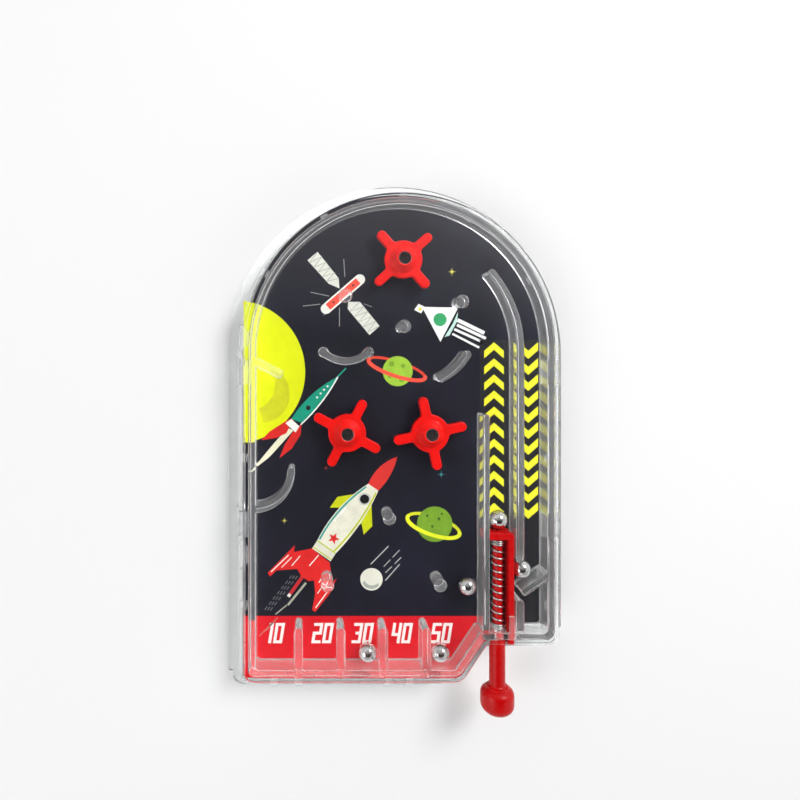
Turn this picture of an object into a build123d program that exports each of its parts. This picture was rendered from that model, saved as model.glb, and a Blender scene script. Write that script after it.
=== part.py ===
from build123d import *

import os
from math import cos, radians, sin, sqrt, tan

# Hand-held pinball game, lying on its back. Millimetres.
# Origin: centre of the arch, on the flat back face. +Y runs to the top of the arch,
# +X to the plunger's side and +Z to the player. Walls, pins and guards hang from the
# clear window down to the printed card; steel balls roll on the card between them.

# Ball and playing space
BALL = 4.76                    # 3/16 inch steel ball
BALL_GAP = 0.2                 # a resting ball stays this far from other moving pieces
DEPTH = 6.4                    # card to window
FIELD_HALF = 36.5              # half width of the playfield and radius of its arch
POCKET_Y = -79.9               # floor of the score pockets
SHELF_Y = -70.6                # floor of the two lanes
SLOPE_FOOT_X = 13.5            # foot of the slope beside the last pocket
SLOPE = 56.4                   # degrees from the pocket floor

# Levels
FLOOR = 1.4                    # back tray's floor
LEDGE_TOP = 7.4                # the card lies here
LEDGE = 1.0
TRAY_TOP = 8.0
CARD = 0.4
FIELD_Z = LEDGE_TOP + CARD
WINDOW_Z = FIELD_Z + DEPTH
WINDOW = 1.2
HALF_DEPTH = FIELD_Z + DEPTH / 2

# Casing
TRACK_WALL = 1.5
WINDOW_LIP = 2.7               # window's edge beyond the playfield
CARD_RIM = 3.7
TRAY_REACH = 5.0               # tray wall's outer face beyond the playfield
TRAY_SLOPE_REACH = 6.0
TRAY_WALL = 1.1
TRAY_LOW = -86.8
TRAY_SHELF = -76.9
PLATE_HALF = 43.9              # base plate, wider than the wall that stands on it
PLATE_SLOPE_REACH = 9.4
PLATE_LOW = -90.7
PLATE_SHELF = -80.3
FOOT_HALF = 45.2               # foot flange round the arch and both sides
FOOT_DROP = 1.0                # its arch sits this much lower than the playfield's
FOOT_LEFT_Y = -87.0
FOOT_RIGHT_Y = -75.6
LEDGE_REACH = -1.2             # the ledge's inner edge
RIB = 1.2
RIB_YS = (20.0, -8.0, -36.0, -58.0)
NIB = 2.0                      # nibs of the wall that hold the card's rim down
NIB_LAP = 1.2
NIB_DEPTH = 0.7
ARCH_NIBS = (28.0, 61.5, 88.0, 119.0, 150.0)
SIDE_NIBS = (-28.0, -66.0)
GUSSET_XS = (-32.4, -25.9, -2.1, 3.5)
GUSSET_LOW = -91.2

# Half-moon lips of the wall over the card's rim, on the left: centre and length
LIPS = ((3.2, 7.0), (-52.9, 7.6))
LIP_IN = 1.6                   # deepest point, inside the card's edge

# Clips: tongues of the track wall that snap into the tray's wall
CLIPS = ((-5.7, 6.3), (-45.0, 6.3))
CLIP = 0.8
CLIP_X = 41.25                 # outer face of the tongue
CLIP_WEB = 1.0
CLIP_LOW = 3.4
BARB_OUT = 0.6
BOSS = 0.5                     # the wall is thicker round each clip
BOSS_END = 1.0

# Lanes
LANE_X = 21.8                  # left face of the plunger's lane
LANE_WALL = 1.4
LANE_WALL_TOP = -16.1
DIVIDER_X = 28.7               # left face of the wall between the lanes
DIVIDER = 1.7
DIVIDER_LOW = -52.0
DIVIDER_SWEEP = 40.4           # degrees of the arch that its curved top follows
LOWER_WALL_TOP = -62.3
RAMP = 1.6
RAMP_TOP = (FIELD_HALF, -55.4)
RAMP_END = (30.3, -59.6)

# Pockets, pins and guards
POCKET_XS = (-25.7, -15.1, -4.5, 6.2)
POCKET_WALL = 2.0
POCKET_TOP = -69.3
PIN = 3.0
PINS = {
    "pin_centre": (0.7, 5.9),
    "pin_upper_right": (15.2, 12.1),
    "pin_upper_left": (-13.9, 13.6),
    "pin_lower_centre": (-3.0, -42.0),
    "pin_lower_left": (-18.5, -58.6),
    "pin_lower_right": (9.7, -58.7),
}
CRADLE_ENDS = ((-19.4, -0.6), (-8.2, -0.6))
CRADLE_LOW = (-13.8, -2.8)
CRADLE = 1.7
CRADLE_BEAD = 2.4
DEFLECTOR = ((9.9, -7.0), (13.5, -4.55), (16.3, -1.2))
DEFLECTOR_WALL = 1.9
HOOK_CENTRE = (-37.05, -30.2)
HOOK_R = 9.5
HOOK = 1.7
STUB = ((-37.5, -2.4), (-30.7, -5.95))
STUB_WALL = 2.0

# Spinners
SPINNERS = {
    "spinner_top": (0.9, 23.0, 42.0),
    "spinner_left": (-13.4, -21.1, 62.0),
    "spinner_right": (7.7, -21.2, 12.0),
}
SPIN_PLAY = 0.3                # hub to card and hub to window
SPIN_FIT = 0.08                # hub on its post
DISC_R = 4.8
DISC = 1.4
ARM_R = 9.4
ARM = 2.5
ARM_DEPTH = 2.0
HUB_LOW_R = 2.5
HUB_CONE_R = 3.6
HUB_TOP_R = 2.1
HUB_RING = 0.7

# Plunger
PLUNGER_X = 24.9
PLUNGER_Z = 10.9
PLUNGER_DEPTH = 4.8
HEAD_Y = -45.9
HEAD = 1.8
HEAD_LEFT = LANE_X + 0.3
BAR_RIGHT = DIVIDER_X - 0.3
BAR = 1.5
BAR_END = -73.9
SLOT_GAP = 0.3
ROD_R = 1.2
ROD_FIT = 0.1
SHANK_R = 2.0
SHANK_GAP = 0.15
KNOB_R = 4.2
KNOB_Y = -85.4
KNOB = 7.3
GUIDE_TOP = -66.4
GLAND_LEFT = LANE_X - 0.6      # block of the lanes' floor that the plunger passes through
GLAND_RIGHT = DIVIDER_X + 1.2

# Spring
WIRE = 0.45
SPRING_R = 1.75
SPRING_END = 1.4               # closed coils at each end
SPRING_TURNS = 12
SPRING_GAP = 0.1
SPRING_LAP = 0.04              # closed coils wrap the open coil's ends by this much

# Where the balls lie: pocket, pocket, field, plunger's lane, return lane
BALLS = {
    "ball_pocket_left": (-8.1, -77.2),
    "ball_pocket_right": (10.4, -77.2),
    "ball_field": (17.3, -60.2),
    "ball_lane": (25.2, HEAD_Y + BALL / 2 + BALL_GAP),
    "ball_return": (31.1, -55.8),
}

os.makedirs("parts", exist_ok=True)


def save(piece, name):
    """Label one finished piece and write it under its own name."""
    piece.part.label = name
    export_step(piece.part, f"parts/{name}.step")


def slope_x(reach, y):
    """Place of the slope's face at height y, with the face moved out by reach."""
    angle = radians(SLOPE)
    return SLOPE_FOOT_X + reach / sin(angle) + (y - POCKET_Y) / tan(angle)


def case_face(half, low, shelf, slope_reach, corner, elbow):
    """Casing outline: arch on top, pocket side at low, lane side at shelf, slope between."""
    neck = 1.0
    with BuildSketch() as face:
        with BuildLine():
            FilletPolyline(
                (-half, 0),
                (-half, low),
                (slope_x(slope_reach, low), low),
                (slope_x(slope_reach, shelf), shelf),
                (half, shelf),
                (half, 0),
                radius=[corner, elbow, neck, corner],
            )
            ThreePointArc((half, 0), (0, half), (-half, 0))
        make_face()
    return face.sketch


def tray_face(inset):
    """Outline of the tray's wall, inset from its outer face."""
    return case_face(
        FIELD_HALF + TRAY_REACH - inset,
        TRAY_LOW + inset,
        TRAY_SHELF + inset,
        TRAY_SLOPE_REACH - inset,
        max(2.4 - inset, 0.6),
        6.5 - inset,
    )


def track_face(reach):
    """Outline at an even reach outside the playfield's inner wall face."""
    return case_face(
        FIELD_HALF + reach,
        POCKET_Y - reach,
        SHELF_Y - reach,
        reach,
        1.0 + max(reach, 0) * 0.5,
        1.5 + max(reach, 0),
    )


FIELD_PLANE = Plane.XY.offset(FIELD_Z)

# ---------------------------------------------------------------- back tray

with BuildPart() as back_tray:
    # base plate, with the foot flange round the arch and both sides
    with BuildSketch() as foot:
        add(case_face(PLATE_HALF, PLATE_LOW, PLATE_SHELF, PLATE_SLOPE_REACH, 3.0, 9.0))
        with Locations((0, -FOOT_DROP)):
            Circle(FOOT_HALF)
        foot_width = FOOT_HALF - FIELD_HALF
        for side, end in ((-1, FOOT_LEFT_Y), (1, FOOT_RIGHT_Y)):
            centre_y = (end - FOOT_DROP) / 2
            with Locations((side * (FIELD_HALF + foot_width / 2), centre_y)):
                Rectangle(foot_width, -FOOT_DROP - end)
    extrude(amount=FLOOR)
    foot_ends = back_tray.edges().filter_by(Axis.Z).group_by(Axis.X)
    fillet((foot_ends[0] + foot_ends[-1]).sort_by(Axis.Y)[0:2], 0.9)

    # wall
    with BuildSketch(Plane.XY.offset(FLOOR)):
        add(tray_face(0))
        add(tray_face(TRAY_WALL), mode=Mode.SUBTRACT)
    extrude(amount=TRAY_TOP - FLOOR)

    # ledge under the card's rim
    with BuildSketch(Plane.XY.offset(LEDGE_TOP - LEDGE)):
        add(tray_face(TRAY_WALL / 2))
        add(track_face(LEDGE_REACH), mode=Mode.SUBTRACT)
    extrude(amount=LEDGE)

    # ribs that stiffen the floor and carry the middle of the card
    for rib_y in RIB_YS:
        rib_half = sqrt(max((FIELD_HALF - 0.6) ** 2 - max(rib_y, 0) ** 2, 0))
        with BuildSketch(Plane.XY.offset(FLOOR)):
            with Locations((0, rib_y)):
                Rectangle(2 * rib_half, RIB)
        extrude(amount=LEDGE_TOP - FLOOR)

    # nibs over the card's rim, on the arch and on both sides
    nib_in = FIELD_HALF + CARD_RIM - NIB_LAP
    nib_length = FIELD_HALF + TRAY_REACH - TRAY_WALL / 3 - nib_in
    nib_r = nib_in + nib_length / 2
    with BuildSketch(FIELD_PLANE):
        for angle in ARCH_NIBS:
            place = Location((nib_r * cos(radians(angle)), nib_r * sin(radians(angle))), angle)
            with Locations(place):
                Rectangle(nib_length, NIB)
        for nib_y in SIDE_NIBS:
            with Locations((-nib_r, nib_y), (nib_r, nib_y)):
                Rectangle(nib_length, NIB)
    extrude(amount=NIB_DEPTH)
    lip_out = -(FIELD_HALF + TRAY_REACH - TRAY_WALL / 2)
    for lip_y, lip_length in LIPS:
        lip_low = (lip_out, lip_y - lip_length / 2)
        lip_high = (lip_out, lip_y + lip_length / 2)
        with BuildSketch(FIELD_PLANE):
            with BuildLine():
                ThreePointArc(lip_low, (LIP_IN - FIELD_HALF - CARD_RIM, lip_y), lip_high)
                Line(lip_high, lip_low)
            make_face()
        extrude(amount=NIB_DEPTH)

    # gussets between the base plate and the wall below the pockets
    for gusset_x in GUSSET_XS:
        with BuildSketch(Plane.YZ.offset(gusset_x - NIB / 2)):
            Polygon(
                (TRAY_LOW + TRAY_WALL / 2, FLOOR / 2),
                (GUSSET_LOW, FLOOR / 2),
                (GUSSET_LOW, FLOOR),
                (TRAY_LOW, TRAY_TOP - 1.0),
                (TRAY_LOW + TRAY_WALL / 2, TRAY_TOP - 1.0),
                align=None,
            )
        extrude(amount=NIB)

    # bosses round the clips, slots for their tongues and windows for their barbs
    wall_out = FIELD_HALF + TRAY_REACH
    slot_in = FIELD_HALF + CARD_RIM + 0.05
    slot_out = CLIP_X + 0.2
    for side in (-1, 1):
        for clip_y, clip_length in CLIPS:
            with BuildSketch(Plane.XY.offset(FLOOR)):
                with Locations((side * wall_out, clip_y)):
                    Rectangle(2 * BOSS, clip_length + 2 * BOSS_END)
            extrude(amount=TRAY_TOP - FLOOR)
            slot_length = clip_length + 2 * SLOT_GAP
            with BuildSketch(Plane.XY.offset(CLIP_LOW - SLOT_GAP)):
                with Locations((side * (slot_in + slot_out) / 2, clip_y)):
                    Rectangle(slot_out - slot_in, slot_length)
            extrude(amount=TRAY_TOP - CLIP_LOW + SLOT_GAP, mode=Mode.SUBTRACT)
            with BuildSketch(Plane.XY.offset(CLIP_LOW - SLOT_GAP)):
                with Locations((side * (wall_out + BOSS), clip_y)):
                    Rectangle(4 * BOSS, slot_length)
            extrude(amount=2.4, mode=Mode.SUBTRACT)
save(back_tray, "back_tray")

# ---------------------------------------------------------------- printed card

with BuildPart() as playfield_card:
    with BuildSketch(Plane.XY.offset(LEDGE_TOP)):
        add(case_face(FIELD_HALF + CARD_RIM, -85.0, -71.6, CARD_RIM, 0.8, 2.0))
    extrude(amount=CARD)
save(playfield_card, "playfield_card")

# ---------------------------------------------------------------- clear cover

with BuildPart() as cover_window:
    with BuildSketch(Plane.XY.offset(WINDOW_Z)):
        add(case_face(FIELD_HALF + WINDOW_LIP, POCKET_Y - WINDOW_LIP, -73.2, WINDOW_LIP, 2.4, 4.0))
    extrude(amount=WINDOW)
    fillet(cover_window.faces().sort_by(Axis.Z)[-1].edges(), 0.6)
save(cover_window, "cover_window")

GLAND_CENTRE = ((GLAND_LEFT + GLAND_RIGHT) / 2, SHELF_Y - TRACK_WALL / 2)

with BuildPart() as track_wall:
    with BuildSketch(FIELD_PLANE):
        add(track_face(TRACK_WALL))
        add(track_face(0), mode=Mode.SUBTRACT)
    extrude(amount=DEPTH)
    # room for the plunger's gland in the lanes' floor
    with BuildSketch(FIELD_PLANE):
        with Locations(GLAND_CENTRE):
            Rectangle(GLAND_RIGHT - GLAND_LEFT, 2 * TRACK_WALL)
    extrude(amount=DEPTH, mode=Mode.SUBTRACT)
    # clips: a web over the card's rim, a tongue beside it and its barb
    web_low = FIELD_Z + 0.2
    web_x = FIELD_HALF + TRACK_WALL / 2
    for side in (-1, 1):
        for clip_y, clip_length in CLIPS:
            with BuildSketch(Plane.XY.offset(web_low)):
                with Locations((side * (web_x + CLIP_X) / 2, clip_y)):
                    Rectangle(CLIP_X - web_x, clip_length)
            extrude(amount=CLIP_WEB)
            with BuildSketch(Plane.XY.offset(CLIP_LOW)):
                with Locations((side * (CLIP_X - CLIP / 2), clip_y)):
                    Rectangle(CLIP, clip_length)
            extrude(amount=web_low + CLIP_WEB - CLIP_LOW)
            with BuildSketch(Plane.XZ.offset(-clip_y - clip_length / 2)):
                Polygon(
                    (side * (CLIP_X - CLIP / 2), CLIP_LOW),
                    (side * CLIP_X, CLIP_LOW),
                    (side * (CLIP_X + BARB_OUT), CLIP_LOW + 1.2),
                    (side * (CLIP_X + BARB_OUT), CLIP_LOW + 1.6),
                    (side * (CLIP_X - CLIP / 2), CLIP_LOW + 1.6),
                    align=None,
                )
            extrude(amount=clip_length)
save(track_wall, "track_wall")

with BuildPart() as plunger_gland:
    with BuildSketch(FIELD_PLANE):
        with Locations(GLAND_CENTRE):
            Rectangle(GLAND_RIGHT - GLAND_LEFT, TRACK_WALL)
    extrude(amount=DEPTH)
    # bore for the plunger's rod and slot for its side bar
    with BuildSketch(Plane.XZ.offset(-SHELF_Y)):
        with Locations((PLUNGER_X, PLUNGER_Z)):
            Circle(ROD_R + ROD_FIT)
        with Locations((BAR_RIGHT - BAR / 2, PLUNGER_Z)):
            Rectangle(BAR + 2 * SLOT_GAP, PLUNGER_DEPTH + 2 * SLOT_GAP)
    extrude(amount=TRACK_WALL, mode=Mode.SUBTRACT)
save(plunger_gland, "plunger_gland")

# ---------------------------------------------------------------- lanes

with BuildPart() as shooter_lane_wall:
    with BuildSketch(FIELD_PLANE):
        nose_r = LANE_WALL / 2
        with Locations((LANE_X - nose_r, (LANE_WALL_TOP + SHELF_Y - nose_r) / 2)):
            Rectangle(LANE_WALL, LANE_WALL_TOP - nose_r - SHELF_Y)
        with Locations((LANE_X - nose_r, LANE_WALL_TOP - nose_r)):
            Circle(nose_r)
    extrude(amount=DEPTH)
save(shooter_lane_wall, "shooter_lane_wall")

with BuildPart() as lane_divider:
    divider_mid = DIVIDER_X + DIVIDER / 2
    with BuildSketch(FIELD_PLANE):
        with Locations((divider_mid, DIVIDER_LOW / 2)):
            Rectangle(DIVIDER, -DIVIDER_LOW)
        with BuildLine():
            CenterArc((0, 0), divider_mid, 0, DIVIDER_SWEEP)
        trace(line_width=DIVIDER)
        with PolarLocations(divider_mid, 1, DIVIDER_SWEEP):
            Circle(DIVIDER / 2)
        with Locations((divider_mid, DIVIDER_LOW)):
            Circle(DIVIDER / 2)
    extrude(amount=DEPTH)
save(lane_divider, "lane_divider")

with BuildPart() as lower_lane_wall:
    with BuildSketch(FIELD_PLANE):
        with Locations((divider_mid, (LOWER_WALL_TOP + SHELF_Y) / 2)):
            Rectangle(DIVIDER, LOWER_WALL_TOP - SHELF_Y)
    extrude(amount=DEPTH)
    fillet(lower_lane_wall.edges().filter_by(Axis.Z).sort_by(Axis.Y)[-2:], 0.4)
save(lower_lane_wall, "lower_lane_wall")

with BuildPart() as return_ramp:
    # the upper face runs from the track wall down to the gap between the lanes
    run = Vector(*RAMP_TOP) - Vector(*RAMP_END)
    under = Vector(run.Y, -run.X).normalized() * (RAMP / 2)
    low_end = Vector(*RAMP_END) + under
    high_end = Vector(*RAMP_TOP) + under + run.normalized() * RAMP
    with BuildSketch(FIELD_PLANE):
        SlotCenterPoint(center=(low_end + high_end) / 2, point=high_end, height=RAMP)
        with Locations((FIELD_HALF + RAMP, RAMP_TOP[1])):
            Rectangle(2 * RAMP, 8 * RAMP, mode=Mode.SUBTRACT)
    extrude(amount=DEPTH)
save(return_ramp, "return_ramp")

with BuildPart() as bar_guide:
    # holds the plunger's side bar down from above
    guide_low = PLUNGER_Z + PLUNGER_DEPTH / 2 + SLOT_GAP
    with BuildSketch(Plane.XY.offset(guide_low)):
        with Locations((BAR_RIGHT - BAR / 2, (GUIDE_TOP + SHELF_Y) / 2)):
            Rectangle(BAR, GUIDE_TOP - SHELF_Y)
    extrude(amount=WINDOW_Z - guide_low)
save(bar_guide, "bar_guide")

# ---------------------------------------------------------------- score pockets

for number, pocket_x in enumerate(POCKET_XS, start=1):
    with BuildPart() as pocket_divider:
        with BuildSketch(FIELD_PLANE):
            nose_y = POCKET_TOP - POCKET_WALL / 2
            with Locations((pocket_x, (nose_y + POCKET_Y) / 2)):
                Rectangle(POCKET_WALL, nose_y - POCKET_Y)
            with Locations((pocket_x, nose_y)):
                Circle(POCKET_WALL / 2)
        extrude(amount=DEPTH)
    save(pocket_divider, f"pocket_divider_{number}")

# ---------------------------------------------------------------- pins and guards

for pin_name, pin_place in PINS.items():
    with BuildPart() as pin:
        with BuildSketch(FIELD_PLANE):
            with Locations(pin_place):
                Circle(PIN / 2)
        extrude(amount=DEPTH)
        chamfer(pin.faces().sort_by(Axis.Z)[0].edges(), 0.25)
    save(pin, pin_name)

with BuildPart() as guard_cradle:
    with BuildSketch(FIELD_PLANE):
        SlotArc(ThreePointArc(CRADLE_ENDS[0], CRADLE_LOW, CRADLE_ENDS[1]), CRADLE)
        with Locations(*CRADLE_ENDS):
            Circle(CRADLE_BEAD / 2)
    extrude(amount=DEPTH)
save(guard_cradle, "guard_cradle")

with BuildPart() as guard_deflector:
    with BuildSketch(FIELD_PLANE):
        SlotArc(ThreePointArc(*DEFLECTOR), DEFLECTOR_WALL)
    extrude(amount=DEPTH)
save(guard_deflector, "guard_deflector")


def clear_of_wall():
    """Cut away what would reach into the track wall's left side."""
    with Locations((-FIELD_HALF - 5, 0)):
        Rectangle(10, 200, mode=Mode.SUBTRACT)


with BuildPart() as guard_hook:
    with BuildSketch(FIELD_PLANE):
        SlotArc(CenterArc(HOOK_CENTRE, HOOK_R, -98, 98), HOOK)
        clear_of_wall()
    extrude(amount=DEPTH)
save(guard_hook, "guard_hook")

with BuildPart() as guard_stub:
    with BuildSketch(FIELD_PLANE):
        stub_mid = (Vector(*STUB[0]) + Vector(*STUB[1])) / 2
        SlotCenterPoint(center=stub_mid, point=STUB[1], height=STUB_WALL)
        clear_of_wall()
    extrude(amount=DEPTH)
save(guard_stub, "guard_stub")

# ---------------------------------------------------------------- spinners

for spinner_name, (spin_x, spin_y, spin_angle) in SPINNERS.items():
    with BuildPart() as spinner_post:
        with BuildSketch(FIELD_PLANE):
            with Locations((spin_x, spin_y)):
                Circle(PIN / 2)
        extrude(amount=DEPTH)
    save(spinner_post, spinner_name.replace("spinner", "spinner_post"))

    with BuildPart() as spinner:
        # four arms and the disc at half depth
        disc_low = HALF_DEPTH - DISC / 2 - 0.3
        with BuildSketch(Plane.XY.offset(disc_low - (ARM_DEPTH - DISC) / 2)):
            with Locations(Location((spin_x, spin_y), spin_angle)):
                SlotOverall(2 * ARM_R, ARM)
                SlotOverall(2 * ARM_R, ARM, rotation=90)
        extrude(amount=ARM_DEPTH)
        arm_faces = spinner.faces().sort_by(Axis.Z)
        fillet(arm_faces[0].edges() + arm_faces[-1].edges(), 0.35)
        with BuildSketch(Plane.XY.offset(disc_low)):
            with Locations((spin_x, spin_y)):
                Circle(DISC_R)
        extrude(amount=DISC)
        # hub: plain boss below, cone and ring above
        hub_low = FIELD_Z + SPIN_PLAY
        hub_top = WINDOW_Z - SPIN_PLAY
        with BuildSketch(Plane.XZ.offset(-spin_y)) as hub:
            with Locations((spin_x, 0)):
                Polygon(
                    (0, hub_low),
                    (HUB_LOW_R, hub_low),
                    (HUB_LOW_R, disc_low + DISC / 2),
                    (HUB_CONE_R, disc_low + DISC / 2),
                    (HUB_CONE_R, disc_low + DISC),
                    (HUB_TOP_R, hub_top - HUB_RING),
                    (HUB_TOP_R, hub_top),
                    (0, hub_top),
                    align=None,
                )
        revolve(axis=Axis((spin_x, spin_y, 0), (0, 0, 1)))
        with BuildSketch(Plane.XY):
            with Locations((spin_x, spin_y)):
                Circle(PIN / 2 + SPIN_FIT)
        extrude(amount=WINDOW_Z, mode=Mode.SUBTRACT)
    save(spinner, spinner_name)

# ---------------------------------------------------------------- plunger

PLUNGER_PLANE = Plane.XY.offset(PLUNGER_Z - PLUNGER_DEPTH / 2)

with BuildPart() as plunger_slider:
    # head across the lane and side bar down its right face
    with BuildSketch(PLUNGER_PLANE):
        with Locations(((HEAD_LEFT + BAR_RIGHT) / 2, HEAD_Y - HEAD / 2)):
            Rectangle(BAR_RIGHT - HEAD_LEFT, HEAD)
        with Locations((BAR_RIGHT - BAR / 2, (HEAD_Y + BAR_END) / 2)):
            Rectangle(BAR, HEAD_Y - BAR_END)
    extrude(amount=PLUNGER_DEPTH)
    head_corner = plunger_slider.edges().filter_by(Axis.Z).sort_by(Axis.Y)[-2:].sort_by(Axis.X)[-1]
    fillet(head_corner, 0.9)
    fillet(plunger_slider.faces().sort_by(Axis.Z)[-1].edges(), 0.3)
save(plunger_slider, "plunger_slider")

with BuildPart() as plunger_rod:
    # thin inside the spring; the shoulder of the shank stops against the casing
    rod_top = HEAD_Y - HEAD
    shoulder = SHELF_Y - TRACK_WALL - SHANK_GAP
    with BuildSketch(Plane.XZ.offset(-rod_top)):
        with Locations((PLUNGER_X, PLUNGER_Z)):
            Circle(ROD_R)
    extrude(amount=rod_top - shoulder)
    with BuildSketch(Plane.XZ.offset(-shoulder)):
        with Locations((PLUNGER_X, PLUNGER_Z)):
            Circle(SHANK_R)
    extrude(amount=shoulder - KNOB_Y)
save(plunger_rod, "plunger_rod")

with BuildPart() as plunger_knob:
    # profile from the collar round the flare and the straight side to the rounded end
    with BuildSketch(Plane((PLUNGER_X, KNOB_Y, PLUNGER_Z))):
        with BuildLine():
            collar = Polyline((0, 0), (2.7, 0), (2.9, -0.5))
            flare = ThreePointArc(collar @ 1, (3.85, -1.1), (KNOB_R, -2.2))
            side = Line(flare @ 1, (KNOB_R, -4.6))
            dome = Spline(side @ 1, (2.9, -6.65), (0, -KNOB), tangents=[(0, -1), (-1, 0)])
            Line(dome @ 1, (0, 0))
        make_face()
    revolve(axis=Axis((PLUNGER_X, 0, PLUNGER_Z), (0, 1, 0)))
save(plunger_knob, "plunger_knob")

with BuildPart() as plunger_spring:
    spring_top = HEAD_Y - HEAD - SPRING_GAP
    coil_length = spring_top - SHELF_Y - 2 * SPRING_END
    wire_r = SPRING_R - WIRE / 2
    coil = Helix(
        pitch=(coil_length + WIRE) / SPRING_TURNS,
        height=coil_length + WIRE,
        radius=wire_r,
        center=(PLUNGER_X, SHELF_Y + SPRING_END - WIRE / 2, PLUNGER_Z),
        direction=(0, 1, 0),
    )
    with BuildSketch(Plane(origin=coil @ 0, z_dir=coil % 0)):
        Circle(WIRE / 2)
    sweep(path=coil, is_frenet=True)
    # closed coils at both ends
    for end_y in (spring_top, SHELF_Y + SPRING_END):
        with BuildSketch(Plane.XZ.offset(-end_y)):
            with Locations((PLUNGER_X, PLUNGER_Z)):
                Circle(SPRING_R + SPRING_LAP)
                Circle(SPRING_R - WIRE - SPRING_LAP, mode=Mode.SUBTRACT)
        extrude(amount=SPRING_END)
save(plunger_spring, "plunger_spring")

# ---------------------------------------------------------------- balls

for ball_name, (ball_x, ball_y) in BALLS.items():
    with BuildPart() as ball:
        with Locations((ball_x, ball_y, FIELD_Z + BALL / 2)):
            Sphere(BALL / 2)
    save(ball, ball_name)
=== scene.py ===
from math import atan2, cos, pi, radians, sin, sqrt, tan

import bmesh
import bpy
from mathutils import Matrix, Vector


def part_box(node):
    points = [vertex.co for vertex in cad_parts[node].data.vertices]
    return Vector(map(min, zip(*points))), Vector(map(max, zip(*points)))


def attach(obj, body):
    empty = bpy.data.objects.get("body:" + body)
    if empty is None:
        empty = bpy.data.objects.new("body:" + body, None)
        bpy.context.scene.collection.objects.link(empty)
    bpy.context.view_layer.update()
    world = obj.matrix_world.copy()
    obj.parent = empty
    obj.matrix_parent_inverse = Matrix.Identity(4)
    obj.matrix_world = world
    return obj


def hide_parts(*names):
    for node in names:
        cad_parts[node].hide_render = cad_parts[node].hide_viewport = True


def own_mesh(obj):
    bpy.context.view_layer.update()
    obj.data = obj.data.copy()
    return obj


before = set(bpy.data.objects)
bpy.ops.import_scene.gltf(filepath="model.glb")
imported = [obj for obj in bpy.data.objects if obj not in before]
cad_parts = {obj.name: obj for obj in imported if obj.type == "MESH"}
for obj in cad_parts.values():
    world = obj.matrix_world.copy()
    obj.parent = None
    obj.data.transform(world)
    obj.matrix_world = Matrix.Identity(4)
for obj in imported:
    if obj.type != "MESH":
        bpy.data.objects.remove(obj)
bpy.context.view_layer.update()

# Lengths below are in millimetres in the CAD frame; meshes are made in metres.
MM = 0.001


def low(node):
    """Lowest corner of a CAD node in millimetres."""
    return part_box(node)[0] / MM


def high(node):
    """Highest corner of a CAD node in millimetres."""
    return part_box(node)[1] / MM


def middle(node):
    return (low(node) + high(node)) / 2


# Levels
CARD_TOP = high("playfield_card").z
WINDOW_LOW = low("cover_window").z
WINDOW_TOP = high("cover_window").z
NIB_TOP = high("back_tray").z
FOOT_TOP = 1.4
LEDGE_TOP = low("playfield_card").z
TRAY_TOP = LEDGE_TOP + 0.6
LEDGE = 1.0
WALL_FOOT = CARD_TOP + 0.05     # the clear walls stop just above the printing

# Playfield
FIELD_HALF = high("shooter_lane_wall").x + 14.7
POCKET_Y = -79.9
SHELF_Y = low("shooter_lane_wall").y
SLOPE_FOOT_X = 13.5
SLOPE = radians(56.4)
TRACK_WALL = 1.5
WINDOW_LIP = 2.7
CARD_RIM = 3.7
LEDGE_REACH = -1.2

# Walls and pins that hang from the window
LANE_WALL = 1.4
DIVIDER_WALL = 1.7
POCKET_WALL = 2.0
PIN_R = 1.5

# Tray: wall, base plate under it, and foot flange round the arch and both sides
TRAY_WALL = 1.1
TRAY_REACH = 5.0
TRAY_LOW, TRAY_SHELF, TRAY_SLOPE_REACH = -86.8, -76.9, 6.0
PLATE_HALF, PLATE_LOW, PLATE_SHELF, PLATE_SLOPE_REACH = 43.9, -90.7, -80.3, 9.4
FOOT_CENTRE_Y, FOOT_LEFT_Y, FOOT_RIGHT_Y = -1.0, -87.0, -75.6
RIB_YS = (20.0, -8.0, -36.0, -58.0)
NIB_ANGLES = (28.0, 61.5, 88.0, 119.0, 150.0)
NIB_YS = (-28.0, -66.0)
GUSSET_XS = (-32.4, -25.9, -2.1, 3.5)

# Plunger
HEAD = 1.8
BAR = 1.5
ROD_R = 1.2
SHANK_R = 2.0
SHANK_GAP = 0.15

# Clips and lips of the tray: centre and length along Y
CLIPS = ((-5.7, 6.3), (-45.0, 6.3))
CLIP_X = 41.25
CLIP_LOW = 3.4
LIPS = ((3.2, 7.0), (-52.9, 7.6))


# ---------------------------------------------------------------- outlines

def arc(cx, cy, r, start, end, steps):
    """Points along an arc, angles in radians."""
    turn = (end - start) / steps
    return [(cx + r * cos(start + turn * i), cy + r * sin(start + turn * i)) for i in range(steps + 1)]


def circle(x, y, r, steps=48):
    return arc(x, y, r, 0, 2 * pi, steps)[:-1]


def rounded_corner(before, at, after, radius, steps=6):
    """Points of the round where two straight runs meet."""
    at = Vector(at)
    a = (Vector(before) - at).normalized()
    b = (Vector(after) - at).normalized()
    half = a.angle(b) / 2
    centre = at + (a + b).normalized() * radius / sin(half)
    start = at + a * radius / tan(half) - centre
    end = at + b * radius / tan(half) - centre
    first = atan2(start.y, start.x)
    turn = atan2(end.y, end.x) - first
    if turn > pi:
        turn -= 2 * pi
    if turn < -pi:
        turn += 2 * pi
    return arc(centre.x, centre.y, radius, first, first + turn, steps)


def slope_x(reach, y):
    return SLOPE_FOOT_X + reach / sin(SLOPE) + (y - POCKET_Y) / tan(SLOPE)


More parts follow.
